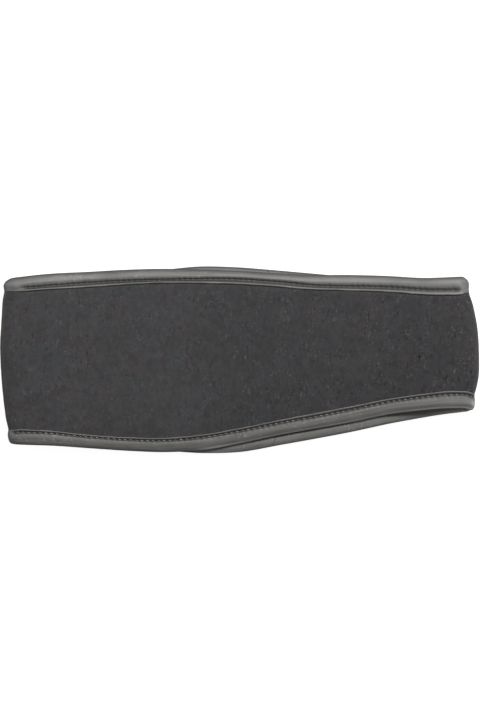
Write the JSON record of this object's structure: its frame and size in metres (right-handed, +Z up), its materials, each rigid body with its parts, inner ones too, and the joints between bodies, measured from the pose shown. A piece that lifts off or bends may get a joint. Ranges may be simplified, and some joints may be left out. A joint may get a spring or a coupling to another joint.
{
  "type": "fleece headband",
  "caption": "Wide fleece ear-warming headband with a curved lower edge and stitched stretch binding along both edges, lying flat and folded at its two ends.",
  "frame": {"origin": "middle of the underside of the laid headband's box, on the surface that it lies on", "axes": "+X along the laid loop from its deep front end to the narrow back of the head, +Y from the lower edge to the upper edge as worn, +Z up from the surface"},
  "size_m": [0.25, 0.0981, 0.015],
  "materials": {
    "fleece": "matte charcoal fleece with a short, slightly pilled nap",
    "binding": "smooth warm grey knitted stretch tape with a faint sheen"
  },
  "bodies": {
    "root": {"fleece_band": "fleece", "top_binding": "binding", "bottom_binding": "binding"}
  },
  "joints": []
}
